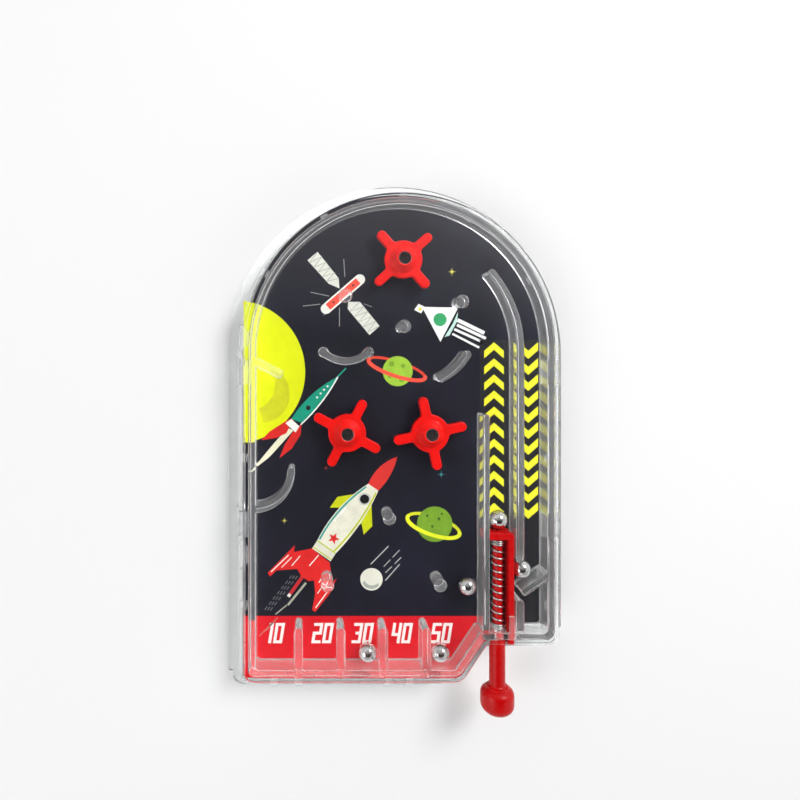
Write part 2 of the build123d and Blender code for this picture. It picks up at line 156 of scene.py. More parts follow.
def case_outline(half, base, shelf, slope_reach, corner, elbow):
    """Arch on top, pocket side at base, lane side at shelf and the slope between, anticlockwise."""
    a = (-half, base)
    b = (slope_x(slope_reach, base), base)
    c = (slope_x(slope_reach, shelf), shelf)
    d = (half, shelf)
    points = arc(0, 0, half, 0, pi, 120)
    points += rounded_corner((-half, 0), a, b, corner)
    points += rounded_corner(a, b, c, elbow)
    points += rounded_corner(b, c, d, 1.0)
    points += rounded_corner(c, d, (half, 0), corner)
    return points


def track_outline(reach):
    return case_outline(
        FIELD_HALF + reach, POCKET_Y - reach, SHELF_Y - reach, reach,
        1.0 + max(reach, 0) * 0.5, 1.5 + max(reach, 0),
    )


def window_outline(inset):
    return case_outline(
        FIELD_HALF + WINDOW_LIP - inset, POCKET_Y - WINDOW_LIP + inset, -73.2 + inset,
        WINDOW_LIP - inset, 2.4 - inset, 4.0 - inset,
    )


def tray_outline(inset):
    return case_outline(
        FIELD_HALF + TRAY_REACH - inset, TRAY_LOW + inset, TRAY_SHELF + inset,
        TRAY_SLOPE_REACH - inset, max(2.4 - inset, 0.6), 6.5 - inset,
    )


def foot_outline(inset):
    """The tray's base plate with its flange round the arch and both sides."""
    half = high("back_tray").x - inset
    left_end, right_end = FOOT_LEFT_Y + inset, FOOT_RIGHT_Y + inset
    plate_half = PLATE_HALF - inset
    base, shelf, slope = PLATE_LOW + inset, PLATE_SHELF + inset, PLATE_SLOPE_REACH - inset
    b = (slope_x(slope, base), base)
    c = (slope_x(slope, shelf), shelf)
    d = (plate_half, shelf)
    points = arc(0, FOOT_CENTRE_Y, half, 0, pi, 120)
    points += rounded_corner((-half, 0), (-half, left_end), (-plate_half, left_end), 0.9)
    points += [(-plate_half, left_end)]
    points += rounded_corner((-plate_half, left_end), (-plate_half, base), b, 3.0 - inset)
    points += rounded_corner((-plate_half, base), b, c, 9.0 - inset)
    points += rounded_corner(b, c, d, 1.0)
    points += rounded_corner(c, d, (plate_half, 0), 3.0 - inset)
    points += [(plate_half, right_end)]
    points += rounded_corner((plate_half, right_end), (half, right_end), (half, 0), 0.9)
    return points


def ribbon(path, width, steps=10):
    """Closed outline of a wall of even width with round ends along a path."""
    path = [Vector(p) for p in path]
    r = width / 2
    left, right = [], []
    for i, p in enumerate(path):
        along = (path[min(i + 1, len(path) - 1)] - path[max(i - 1, 0)]).normalized()
        across = Vector((-along.y, along.x)) * r
        left.append(p + across)
        right.append(p - across)
    end = (path[-1] - path[-2]).normalized()
    start = (path[0] - path[1]).normalized()
    end_turn = atan2(end.y, end.x)
    start_turn = atan2(start.y, start.x)
    cap_end = arc(path[-1].x, path[-1].y, r, end_turn - pi / 2, end_turn + pi / 2, steps)
    cap_start = arc(path[0].x, path[0].y, r, start_turn - pi / 2, start_turn + pi / 2, steps)
    points = [(v.x, v.y) for v in right[1:-1]] + cap_end
    points += [(v.x, v.y) for v in reversed(left[1:-1])] + cap_start
    return points


def grown(points, reach):
    """An anticlockwise closed outline moved outwards by reach."""
    points = [Vector(p) for p in points]
    moved = []
    for i, p in enumerate(points):
        a = (p - points[i - 1]).normalized()
        b = (points[(i + 1) % len(points)] - p).normalized()
        na, nb = Vector((a.y, -a.x)), Vector((b.y, -b.x))
        mid = (na + nb).normalized()
        stretch = max(mid.dot(na), 0.5)
        moved.append(p + mid * reach / stretch)
    return [(v.x, v.y) for v in moved]


# ---------------------------------------------------------------- meshes

def new_object(name, bm, smooth_angle=32):
    bmesh.ops.recalc_face_normals(bm, faces=bm.faces)
    mesh = bpy.data.meshes.new(name)
    bm.to_mesh(mesh)
    bm.free()
    obj = bpy.data.objects.new(name, mesh)
    bpy.context.scene.collection.objects.link(obj)
    smooth(obj, smooth_angle)
    return obj


def smooth(obj, angle=32):
    for face in obj.data.polygons:
        face.use_smooth = True
    obj.data.set_sharp_from_angle(angle=radians(angle))


def skin(bm, rings, ring_closed=True, caps=True, loop=False):
    """Quads between rings of equal length; rings are lists of millimetre points (x, y, z)."""
    rows = [[bm.verts.new(Vector(p) * MM) for p in ring] for ring in rings]
    count = len(rows[0])
    pairs = list(zip(rows, rows[1:]))
    if loop:
        pairs.append((rows[-1], rows[0]))
    for a, b in pairs:
        for i in range(count if ring_closed else count - 1):
            j = (i + 1) % count
            bm.faces.new((a[i], a[j], b[j], b[i]))
    if caps and not loop:
        bm.faces.new(list(reversed(rows[0])))
        bm.faces.new(rows[-1])


def level(points, z):
    return [(x, y, z) for x, y in points]


def solid(name, outline, profile, loop=False):
    """A solid whose side follows profile, a list of (reach, z), round outline(reach)."""
    bm = bmesh.new()
    skin(bm, [level(outline(reach), z) for reach, z in profile], loop=loop)
    return new_object(name, bm)


def eased_slab(name, points, z0, z1, soft):
    """A flat plate with eased edges from z0 to z1."""
    return solid(name, lambda reach: grown(points, reach), [
        (-soft, z0), (-soft * 0.3, z0 + soft * 0.3), (0, z0 + soft),
        (0, z1 - soft), (-soft * 0.3, z1 - soft * 0.3), (-soft, z1),
    ])


def block(name, x0, x1, y0, y1, z0, z1):
    bm = bmesh.new()
    points = [(x0, y0), (x1, y0), (x1, y1), (x0, y1)]
    skin(bm, [level(points, z0), level(points, z1)])
    return new_object(name, bm)


def lathe(name, profile, centre, axis="Z", steps=64):
    """Solid of revolution about Z or Y; profile is a list of (radius, place along the axis)."""
    bm = bmesh.new()
    rings = []
    for r, along in profile:
        ring = []
        for x, y in circle(0, 0, max(r, 0.001), steps):
            if axis == "Z":
                ring.append((centre[0] + x, centre[1] + y, along))
            else:
                ring.append((centre[0] + x, along, centre[1] + y))
        rings.append(ring)
    skin(bm, rings)
    return new_object(name, bm)


def fuse(name, parts, cuts=()):
    """One clean solid: the union of parts, less the cuts."""
    base = parts[0]
    base.name = name
    for group, operation in ((parts[1:], "UNION"), (list(cuts), "DIFFERENCE")):
        for other in group:
            modifier = base.modifiers.new("fuse", "BOOLEAN")
            modifier.operation = operation
            modifier.solver = "EXACT"
            modifier.object = other
    graph = bpy.context.evaluated_depsgraph_get()
    mesh = bpy.data.meshes.new_from_object(base.evaluated_get(graph))
    base.modifiers.clear()
    base.data = mesh
    even = base.modifiers.new("even", "WEIGHTED_NORMAL")
    even.keep_sharp = True
    even.weight = 100
    for other in list(parts[1:]) + list(cuts):
        bpy.data.objects.remove(other)
    bm = bmesh.new()
    bm.from_mesh(base.data)
    bmesh.ops.remove_doubles(bm, verts=bm.verts, dist=1e-7)
    bmesh.ops.dissolve_degenerate(bm, edges=bm.edges, dist=1e-7)
    bm.to_mesh(base.data)
    bm.free()
    smooth(base)
    return base


def finish_piece(obj, body, material, nodes=()):
    obj.data.materials.clear()
    obj.data.materials.append(material)
    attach(obj, body)
    if nodes:
        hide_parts(*nodes)
    return obj


# ---------------------------------------------------------------- materials

def feed(tree, node, inputs):
    """Set a node's inputs to values, or link them to other nodes' outputs."""
    for key, value in inputs.items():
        if isinstance(value, bpy.types.NodeSocket):
            tree.links.new(value, node.inputs[key])
        else:
            node.inputs[key].default_value = value
    return node


def add_node(tree, kind, inputs):
    return feed(tree, tree.nodes.new("ShaderNode" + kind), inputs)


def start_material(name):
    material = bpy.data.materials.new(name)
    material.use_nodes = True
    tree = material.node_tree
    tree.nodes.clear()
    shader = add_node(tree, "BsdfPrincipled", {})
    out = add_node(tree, "OutputMaterial", {"Surface": shader.outputs["BSDF"]})
    return material, tree, shader, out


def place(tree, scale=(1, 1, 1)):
    """Object-space coordinates, stretched by scale."""
    coordinates = add_node(tree, "TexCoord", {}).outputs["Object"]
    return add_node(tree, "Mapping", {"Scale": scale, "Vector": coordinates}).outputs["Vector"]


def component(tree, vector, axis):
    return add_node(tree, "SeparateXYZ", {"Vector": vector}).outputs[axis]


def combined(tree, operation, a, b):
    node = add_node(tree, "Math", {0: a, 1: b})
    node.operation = operation
    return node.outputs["Value"]


def noise(tree, vector, scale, detail=4.0, rough=0.55):
    inputs = {"Vector": vector, "Scale": scale, "Detail": detail, "Roughness": rough}
    return add_node(tree, "TexNoise", inputs).outputs["Fac"]


def ramp(tree, value, stops):
    node = add_node(tree, "ValToRGB", {"Fac": value})
    for i, (at, colour) in enumerate(stops):
        element = node.color_ramp.elements[i] if i < 2 else node.color_ramp.elements.new(at)
        element.position = at
        element.color = (*colour, 1.0)
    return node.outputs["Color"]


def spread(tree, value, from_low, from_high, to_low, to_high):
    inputs = {"Value": value, "From Min": from_low, "From Max": from_high, "To Min": to_low, "To Max": to_high}
    return add_node(tree, "MapRange", inputs).outputs["Result"]


def bump(tree, height, distance, strength, over=None):
    """Normals raised by height, over the normals of another bump where one is given."""
    inputs = {"Height": height, "Distance": distance, "Strength": strength}
    if over is not None:
        inputs["Normal"] = over
    return add_node(tree, "Bump", inputs).outputs["Normal"]


def linear(code):
    """Linear colour of a hexadecimal display colour."""
    parts = [int(code[i:i + 2], 16) / 255 for i in (0, 2, 4)]
    return tuple(c / 12.92 if c <= 0.04045 else ((c + 0.055) / 1.055) ** 2.4 for c in parts)


def scaled(colour, k):
    return tuple(min(c * k, 1.0) for c in colour)


FOOT_MIST = (WALL_FOOT + 0.1, WALL_FOOT + 0.25)


def clear_plastic(name, tint, mist, haze, haze_top):
    """Clear styrene: polished, with smudges, fine scratches, and mist on the moulded feet."""
    material, tree, shader, out = start_material(name)
    height = component(tree, place(tree), "Z")
    misted = spread(tree, height, FOOT_MIST[0] * MM, FOOT_MIST[1] * MM, mist, 0.0)
    smudge = spread(tree, noise(tree, place(tree), 130, 5), 0.45, 0.8, 0.0, 0.03)
    hazy_end = haze_top * MM
    band = spread(tree, height, hazy_end - 0.0001, hazy_end, 1.0, 0.0)
    cloud = spread(tree, noise(tree, place(tree), 260, 4), 0.3, 0.7, haze * 0.8, haze * 1.2)
    milky = combined(tree, "MULTIPLY", cloud, band)
    rubbed = bump(tree, noise(tree, place(tree, (2600, 160, 700)), 1.0, 3), 0.000003, 0.06)
    feed(tree, shader, {
        "Base Color": (*tint, 1.0),
        "IOR": 1.55,
        "Roughness": combined(tree, "ADD", smudge, misted),
        "Transmission Weight": spread(tree, milky, 0.0, 1.0, 1.0, 0.0),
        "Normal": bump(tree, noise(tree, place(tree), 45, 2), 0.00001, 0.06, rubbed),
    })
    # shadow rays pass straight through, so the card under the window stays lit
    see_through = add_node(tree, "BsdfTransparent", {"Color": (0.95, 0.955, 0.955, 1.0)})
    shadow = add_node(tree, "LightPath", {}).outputs["Is Shadow Ray"]
    mix = add_node(tree, "MixShader", {"Fac": shadow, 1: shader.outputs["BSDF"], 2: see_through.outputs["BSDF"]})
    feed(tree, out, {"Surface": mix.outputs["Shader"]})
    return material


def print_ink(name, code, mottle=0.10, gloss=0.42):
    """Ink on card: slight mottling of the solid colour over the paper's grain."""
    material, tree, shader, _ = start_material(name)
    colour = linear(code)
    cloud = noise(tree, place(tree), 420, 6, 0.7)
    grain = noise(tree, place(tree), 5200, 3)
    feed(tree, shader, {
        "Base Color": ramp(tree, cloud, [(0.3, scaled(colour, 1 - mottle)), (0.7, scaled(colour, 1 + mottle))]),
        "Roughness": spread(tree, grain, 0.3, 0.7, gloss - 0.06, gloss + 0.08),
        "Normal": bump(tree, grain, 0.000006, 0.1),
        "Specular IOR Level": 0.35,
    })
    return material


def red_plastic(name, code, rough):
    """Opaque moulded styrene: soft gloss, faint flow lines and handling marks."""
    material, tree, shader, _ = start_material(name)
    colour = linear(code)
    flow = noise(tree, place(tree, (1, 0.35, 1)), 170, 4)
    marks = noise(tree, place(tree), 900, 5)
    feed(tree, shader, {
        "Base Color": ramp(tree, flow, [(0.3, scaled(colour, 0.88)), (0.72, scaled(colour, 1.08))]),
        "Roughness": spread(tree, marks, 0.3, 0.75, rough - 0.07, rough + 0.12),
        "Normal": bump(tree, marks, 0.00002, 0.2),
        "Subsurface Weight": 0.05,
        "Subsurface Radius": (0.0012, 0.0003, 0.0002),
        "Specular IOR Level": 0.22,
    })
    return material


def steel(name, shade, rough, stretch):
    """Bright steel with fine polishing or drawing marks."""
    material, tree, shader, _ = start_material(name)
    marks = noise(tree, place(tree, stretch), 1.0, 4)
    feed(tree, shader, {
        "Metallic": 1.0,
        "Base Color": ramp(tree, marks, [(0.25, (shade * 0.86,) * 3), (0.75, (shade, shade, shade * 0.985))]),
        "Roughness": spread(tree, marks, 0.3, 0.7, rough * 0.6, rough * 1.5),
        "Normal": bump(tree, marks, 0.000004, 0.3),
    })
    return material


CLEAR = clear_plastic("clear_cover_plastic", (0.985, 0.99, 0.99), 0.20, 0.085, WINDOW_LOW - 0.1)
TRAY_CLEAR = clear_plastic("clear_tray_plastic", (0.975, 0.98, 0.98), 0.0, 0.12, NIB_TOP + 1)
SPINNER_RED = red_plastic("spinner_plastic", "E40A04", 0.36)
PLUNGER_RED = red_plastic("plunger_plastic", "BE0205", 0.30)
BALL_STEEL = steel("polished_ball_steel", 0.80, 0.07, (900, 900, 900))
SPRING_STEEL = steel("drawn_spring_steel", 0.62, 0.24, (300, 5200, 300))


# ---------------------------------------------------------------- clear cover

def hung_wall(name, outline, root=0.22, foot=0.18):
    """A wall or pin that hangs from the window: rounded foot, small fillet at the root."""
    profile = [
        (-foot, WALL_FOOT),
        (-foot * 0.3, WALL_FOOT + foot * 0.3),
        (0, WALL_FOOT + foot),
        (0, WINDOW_LOW - root),
        (root * 0.12, WINDOW_LOW - root * 0.5),
        (root * 0.5, WINDOW_LOW - root * 0.12),
        (root, WINDOW_LOW + 0.02),
        (root, WINDOW_LOW + 0.4),
    ]
    return solid(name, lambda reach: grown(outline, reach), profile)


def window_slab():
    edge = 0.6
    profile = [(0.12, WINDOW_LOW), (0, WINDOW_LOW + 0.12), (0, WINDOW_TOP - edge)]
    profile += [(edge - edge * cos(a), WINDOW_TOP - edge + edge * sin(a)) for a in (0.4, 0.8, 1.2, pi / 2)]
    return solid("window", window_outline, profile)


def track_wall():
    soft = 0.18
    top = WINDOW_LOW + 0.4
    root = 0.25
    profile = [
        (-root, top), (-root, WINDOW_LOW + 0.02), (-root * 0.4, WINDOW_LOW - root * 0.4), (0, WINDOW_LOW - root),
        (0, WALL_FOOT + soft), (soft, WALL_FOOT),
        (TRACK_WALL - soft, WALL_FOOT), (TRACK_WALL, WALL_FOOT + soft),
        (TRACK_WALL, WINDOW_LOW - root), (TRACK_WALL + root * 0.4, WINDOW_LOW - root * 0.4),
        (TRACK_WALL + root, WINDOW_LOW + 0.02), (TRACK_WALL + root, top),
    ]
    return solid("track", track_outline, profile, loop=True)


def lane_walls():
    lane = middle("shooter_lane_wall").x
    divider = low("lower_lane_wall").x + DIVIDER_WALL / 2
    lane_top = high("shooter_lane_wall").y
    divider_low = low("lane_divider").y + DIVIDER_WALL / 2
    divider_arc = arc(0, 0, divider, 0, radians(40.4), 40)
    into = SHELF_Y - 0.75
    return [
        hung_wall("lane", ribbon([(lane, into), (lane, -40), (lane, lane_top - LANE_WALL / 2)], LANE_WALL)),
        hung_wall("divider", ribbon([(divider, divider_low), (divider, -26)] + divider_arc, DIVIDER_WALL)),
        hung_wall("lower", ribbon([(divider, into), (divider, -66), (divider, -63.15)], DIVIDER_WALL)),
        hung_wall("ramp", ribbon([(37.1, -55.93), (34.0, -58.05), (30.75, -60.26)], 1.6)),
        block("guide", 26.95, 28.35, SHELF_Y - 0.3, -66.4, 13.65, WINDOW_LOW + 0.4),
    ]


def pocket_walls():
    walls = []
    for number in range(1, 5):
        node = f"pocket_divider_{number}"
        x = middle(node).x
        top = high(node).y - POCKET_WALL / 2
        path = [(x, POCKET_Y - 0.7), (x, -75), (x, top)]
        walls.append(hung_wall(f"pocket_{number}", ribbon(path, POCKET_WALL)))
    return walls


def pins():
    made = []
    nodes = [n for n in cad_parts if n.startswith(("pin_", "spinner_post_"))]
    for node in sorted(nodes):
        spot = middle(node)
        round_pin = circle(spot.x, spot.y, PIN_R, 40)
        made.append(hung_wall(node + "_clear", round_pin, root=0.26))
    return made


def three_point_arc(a, b, c, steps):
    """Points from a through b to c."""
    ax, ay = a
    bx, by = b
    cx, cy = c
    d = 2 * (ax * (by - cy) + bx * (cy - ay) + cx * (ay - by))
    x = ((ax * ax + ay * ay) * (by - cy) + (bx * bx + by * by) * (cy - ay) + (cx * cx + cy * cy) * (ay - by)) / d
    y = ((ax * ax + ay * ay) * (cx - bx) + (bx * bx + by * by) * (ax - cx) + (cx * cx + cy * cy) * (bx - ax)) / d
    r = sqrt((ax - x) ** 2 + (ay - y) ** 2)
    first = atan2(ay - y, ax - x)
    mid = atan2(by - y, bx - x)
    last = atan2(cy - y, cx - x)
    turn_mid = (mid - first) % (2 * pi)
    turn = (last - first) % (2 * pi)
    if turn_mid > turn:
        turn -= 2 * pi
    return arc(x, y, r, first, first + turn, steps)


def guards():
    cradle = three_point_arc((-19.4, -0.6), (-13.8, -2.8), (-8.2, -0.6), 20)
    deflector = three_point_arc((9.9, -7.0), (13.5, -4.55), (16.3, -1.2), 14)
    hook = arc(-37.05, -30.2, 9.5, radians(-89), 0, 26)
    made = [
        hung_wall("cradle", ribbon(cradle, 1.7)),
        hung_wall("deflector", ribbon(deflector, 1.9)),
        hung_wall("hook", ribbon(hook, 1.7)),
        hung_wall("stub", ribbon([(-36.95, -2.69), (-34, -4.23), (-30.7, -5.95)], 2.0)),
    ]
    for x, y in (cradle[0], cradle[-1]):
        made.append(hung_wall("bead", circle(x, y, 1.2, 32)))
    return made


def across(name, outline, y0, y1):
    """A solid of even section, outline in (x, z), from y0 to y1."""
    bm = bmesh.new()
    skin(bm, [[(x, y, z) for x, z in outline] for y in (y0, y1)])
    return new_object(name, bm)


def clips():
    """Webs, tongues and barbs that hold the cover in the tray."""
    made = []
    barb = ((-0.4, 0), (-0.05, 0), (0.6, 1.2), (0.6, 1.6), (-0.4, 1.6))
    for side in (-1, 1):
        for y, length in CLIPS:
            a, b = y - length / 2, y + length / 2
            web = sorted((side * (FIELD_HALF + 0.75), side * (CLIP_X - 0.1)))
            leg = sorted((side * (CLIP_X - 0.8), side * CLIP_X))
            made.append(block("web", web[0], web[1], a, b, CARD_TOP + 0.2, CARD_TOP + 1.2))
            made.append(block("leg", leg[0], leg[1], a + 0.02, b - 0.02, CLIP_LOW, CARD_TOP + 1.18))
            outline = [(side * (CLIP_X + x), CLIP_LOW + 0.02 + z) for x, z in barb]
            made.append(across("barb", outline, a + 0.04, b - 0.04))
    return made


def plunger_opening():
    x = middle("plunger_rod").x
    z = middle("plunger_rod").z
    bore_r, outer, inner = ROD_R + 0.1, SHELF_Y - 3, SHELF_Y + 0.6
    bore = lathe("bore", [(0, outer), (bore_r, outer), (bore_r, inner), (0, inner)], (x, z), "Y", 40)
    bar = high("plunger_slider").x
    slot = block("bar_slot", bar - BAR - 0.3, bar + 0.3, outer, SHELF_Y + 0.4, z - 2.7, z + 2.69)
    return [bore, slot]


def make_cover():
    parts = [window_slab(), track_wall()] + lane_walls() + pocket_walls() + pins() + guards() + clips()
    cover = fuse("clear_cover", parts, plunger_opening())
    nodes = [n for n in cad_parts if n.startswith(("pin_", "pocket_divider", "guard_", "spinner_post"))]
    nodes += ["cover_window", "track_wall", "shooter_lane_wall", "lane_divider", "lower_lane_wall"]
    nodes += ["return_ramp", "bar_guide", "plunger_gland"]
    return finish_piece(cover, "casing", CLEAR, nodes)


# ---------------------------------------------------------------- tray

def ring_between(name, outer, inner, z0, z1):
    """Flat ring between two outlines of equal length."""
    bm = bmesh.new()
    skin(bm, [level(outer, z0), level(outer, z1), level(inner, z1), level(inner, z0)], loop=True)
    return new_object(name, bm)


def turned_block(name, r, angle, length, width, z0, z1):
    along = Vector((cos(angle), sin(angle)))
    across = Vector((-along.y, along.x))
    corners = [(-1, -1), (1, -1), (1, 1), (-1, 1)]
    points = [along * (r + s * length / 2) + across * t * width / 2 for s, t in corners]
    bm = bmesh.new()
    skin(bm, [level(points, z0), level(points, z1)])
    return new_object(name, bm)


def tray_parts():
    edge = 0.3
    floor = solid("floor", foot_outline, [
        (edge, 0), (edge * 0.3, edge * 0.3), (0, edge), (0, FOOT_TOP - edge),
        (edge * 0.3, FOOT_TOP - edge * 0.3), (edge, FOOT_TOP),
    ])
    wall = solid("wall", tray_outline, [
        (0, 1.0), (0, TRAY_TOP - 0.3), (0.08, TRAY_TOP - 0.08), (0.3, TRAY_TOP),
        (TRAY_WALL - 0.3, TRAY_TOP), (TRAY_WALL - 0.08, TRAY_TOP - 0.08), (TRAY_WALL, TRAY_TOP - 0.3),
        (TRAY_WALL, 1.0),
    ], loop=True)
    ledge = ring_between("ledge", tray_outline(0.55), track_outline(LEDGE_REACH), LEDGE_TOP - LEDGE, LEDGE_TOP)
    parts = [floor, wall, ledge]
    for y in RIB_YS:
        half = sqrt((FIELD_HALF - 0.6) ** 2 - max(y, 0) ** 2)
        parts.append(block("rib", -half, half, y - 0.6, y + 0.6, 1.0, LEDGE_TOP - 0.02))
    return parts + nibs() + gussets() + bosses()


def nibs():
    """Nibs and half-moon lips of the wall over the card's rim."""
    inner = FIELD_HALF + CARD_RIM - 1.2
    nib = FIELD_HALF + TRAY_REACH - TRAY_WALL / 3 - inner
    nib_r = inner + nib / 2
    foot = CARD_TOP + 0.01
    made = [turned_block("nib", nib_r, radians(a), nib, 2.0, foot, NIB_TOP) for a in NIB_ANGLES]
    for y in NIB_YS:
        for side in (-1, 1):
            x = side * nib_r
            made.append(block("nib", x - nib / 2, x + nib / 2, y - 1, y + 1, foot, NIB_TOP - 0.01))
    out = -(FIELD_HALF + TRAY_REACH - 0.5)
    for y, length in LIPS:
        moon = three_point_arc((out, y - length / 2), (1.6 - FIELD_HALF - CARD_RIM, y), (out, y + length / 2), 24)
        eased = grown(moon[::-1], -0.1)[::-1]
        bm = bmesh.new()
        skin(bm, [level(moon, foot), level(moon, NIB_TOP - 0.12), level(eased, NIB_TOP)])
        made.append(new_object("lip", bm))
    return made


def gussets():
    """Wedges between the base plate and the wall below the pockets."""
    made = []
    inner, tip, top = TRAY_LOW + 0.5, low("back_tray").y, TRAY_TOP - 1
    outline = [(inner, 0.7), (tip, 0.7), (tip, FOOT_TOP), (TRAY_LOW - 0.01, top), (inner, top)]
    for x in GUSSET_XS:
        bm = bmesh.new()
        skin(bm, [[(x + s, y, z) for y, z in outline] for s in (-1, 1)])
        made.append(new_object("gusset", bm))
    return made


def bosses():
    """The wall is thicker round each clip."""
    made = []
    wall = FIELD_HALF + TRAY_REACH
    for side in (-1, 1):
        for y, length in CLIPS:
            x = sorted((side * (wall - 0.48), side * (wall + 0.5)))
            made.append(block("boss", x[0], x[1], y - length / 2 - 1, y + length / 2 + 1, 1.0, TRAY_TOP - 0.01))
    return made


def tray_cuts():
    """Slots for the tongues, open to the outside where their barbs snap in."""
    cuts = []
    inner, outer = FIELD_HALF + CARD_RIM + 0.05, CLIP_X + 0.2
    outside = FIELD_HALF + TRAY_REACH + 1.5
    low_z, port_top, top = CLIP_LOW - 0.3, CLIP_LOW + 2.1, NIB_TOP + 0.5
    section = [
        (inner, low_z), (outside, low_z), (outside, port_top), (outer, port_top), (outer, top), (inner, top),
    ]
    for side in (-1, 1):
        for y, length in CLIPS:
            outline = [(side * x, z) for x, z in section]
            cuts.append(across("slot", outline, y - length / 2 - 0.3, y + length / 2 + 0.3))
    return cuts


def make_tray():
    tray = fuse("clear_tray", tray_parts(), tray_cuts())
    return finish_piece(tray, "casing", TRAY_CLEAR, ["back_tray"])


# ---------------------------------------------------------------- spinners

def spinner_outline(x, y, turn):
    """Disc with four round-ended arms; the arms spring from small fillets."""
    disc, arm_end, half, fillet = 4.8, 9.4, 1.22, 0.9
    along = sqrt((disc + fillet) ** 2 - (half + fillet) ** 2)
    side = atan2(half + fillet, along)
    points = []
    for quarter in range(4):
        base = turn + quarter * pi / 2
        local = []
        start = atan2(-(half + fillet), along) + pi
        local += arc(along, -(half + fillet), fillet, start, pi / 2, 6)
        local += arc(arm_end - half, 0, half, -pi / 2, pi / 2, 12)
        local += arc(along, half + fillet, fillet, -pi / 2, -(pi - side), 6)
        local += arc(0, 0, disc, side, pi / 2 - side, 12)[1:-1]
        for px, py in local:
            points.append((x + px * cos(base) - py * sin(base), y + px * sin(base) + py * cos(base)))
    return points


def make_spinner(node, turn):
    spot = middle(node)
    x, y = spot.x, spot.y
    z = (CARD_TOP + WINDOW_LOW) / 2 - 0.3
    outline = spinner_outline(x, y, radians(turn))
    plate = eased_slab(node + "_plate", outline, z - 1.0, z + 1.0, 0.32)
    foot, top = CARD_TOP + 0.3, WINDOW_LOW - 0.3
    hub = lathe(node + "_hub", [
        (0, foot), (2.35, foot), (2.5, foot + 0.15), (2.5, z), (3.6, z + 0.8), (3.55, z + 1.0),
        (2.25, top - 0.85), (2.1, top - 0.7), (2.1, top - 0.12), (1.98, top), (0, top),
    ], (x, y))
    bore = [(0, foot - 1), (1.58, foot - 1), (1.58, top + 1), (0, top + 1)]
    hole = lathe(node + "_hole", bore, (x, y), steps=48)
    spinner = fuse(node + "_wheel", [plate, hub], [hole])
    return finish_piece(spinner, node, SPINNER_RED, [node])


# ---------------------------------------------------------------- plunger and spring

def make_plunger():
    x, z = middle("plunger_rod").x, middle("plunger_rod").z
    left, right = low("plunger_slider").x, high("plunger_slider").x
    head, end = high("plunger_slider").y, low("plunger_slider").y
    depth = (high("plunger_slider").z - low("plunger_slider").z) / 2
    under = head - HEAD
    outline = [(left, under), (right - BAR, under), (right - BAR, end), (right, end)]
    outline += rounded_corner((right, end), (right, head), (left, head), 0.9)
    outline += [(left, head)]
    slider = eased_slab("slider", outline, z - depth, z + depth, 0.28)
    shoulder = high("plunger_knob").y
    stop = SHELF_Y - TRACK_WALL - SHANK_GAP
    tip = low("plunger_knob").y
    # radius and distance from the knob's shoulder: collar, flare, straight side, rounded end
    knob = (
        (SHANK_R, 0.3), (2.2, 0.05), (2.72, -0.1), (2.9, -0.5), (3.45, -0.75), (3.9, -1.2), (4.14, -1.75),
        (4.2, -2.3), (4.2, -4.5), (4.08, -5.2), (3.72, -5.85), (3.1, -6.45), (2.3, -6.9),
    )
    rod = lathe("rod", [
        (0, under + 0.6), (ROD_R, under + 0.6), (ROD_R, stop), (SHANK_R - 0.15, stop), (SHANK_R, stop - 0.15),
        *[(r, shoulder + y) for r, y in knob], (1.2, tip + 0.1), (0, tip),
    ], (x, z), "Y", 72)
    plunger = fuse("plunger_moulding", [slider, rod])
    nodes = ["plunger_slider", "plunger_rod", "plunger_knob"]
    return finish_piece(plunger, "plunger", PLUNGER_RED, nodes)


def make_spring():
    """Drawn wire coil with closed coils at both ends."""
    start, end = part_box("plunger_spring")
    x, z = middle("plunger_spring").x, middle("plunger_spring").z
    y0, y1 = start.y / MM, end.y / MM
    wire = 0.225
    coil = 1.75 - wire
    closed, open_turns, closed_turns = 1.4, 11.6, 2.6
    turns = open_turns + 2 * closed_turns
    steps = 26
    total = int(turns * steps)
    bm = bmesh.new()
    rings = []
    first, last = y0 + wire, y1 - wire
    for i in range(total + 1):
        turn = turns * i / total
        if turn < closed_turns:
            y = first + (closed - wire) * turn / closed_turns
        elif turn > turns - closed_turns:
            y = last - (closed - wire) * (turns - turn) / closed_turns
        else:
            share = (turn - closed_turns) / open_turns
            y = first + closed - wire + (last - first - 2 * (closed - wire)) * share
        a = 2 * pi * turn
        out = Vector((cos(a), 0, sin(a)))
        centre = Vector((x, y, z)) + out * coil
        rings.append([centre + out * px + Vector((0, py, 0)) for px, py in circle(0, 0, wire, 10)])
    skin(bm, rings)
    spring = new_object("coil_spring", bm, 60)
    finish_piece(spring, "casing", SPRING_STEEL, ["plunger_spring"])
    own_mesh(spring)
    return spring


# ---------------------------------------------------------------- printing

LAYER = 0.003


def ink(name, shapes, code, layer, mottle=0.10):
    """Printed shapes of one colour: thin films on the card. Each shape is a closed outline."""
    name = "print_" + name
    bm = bmesh.new()
    top = CARD_TOP + LAYER * layer
    for points in shapes:
        area = sum(a[0] * b[1] - b[0] * a[1] for a, b in zip(points, points[1:] + points[:1]))
        points = points if area > 0 else points[::-1]
        skin(bm, [level(points, CARD_TOP - 0.002), level(points, top)])
    obj = new_object(name, bm, 30)
    return finish_piece(obj, "casing", print_ink(name + "_ink", code, mottle))


def line(a, b, width):
    """A straight stroke with square ends."""
    a, b = Vector(a), Vector(b)
    along = (b - a).normalized()
    across = Vector((-along.y, along.x)) * width / 2
    return [tuple(p) for p in (a - across, b - across, b + across, a + across)]


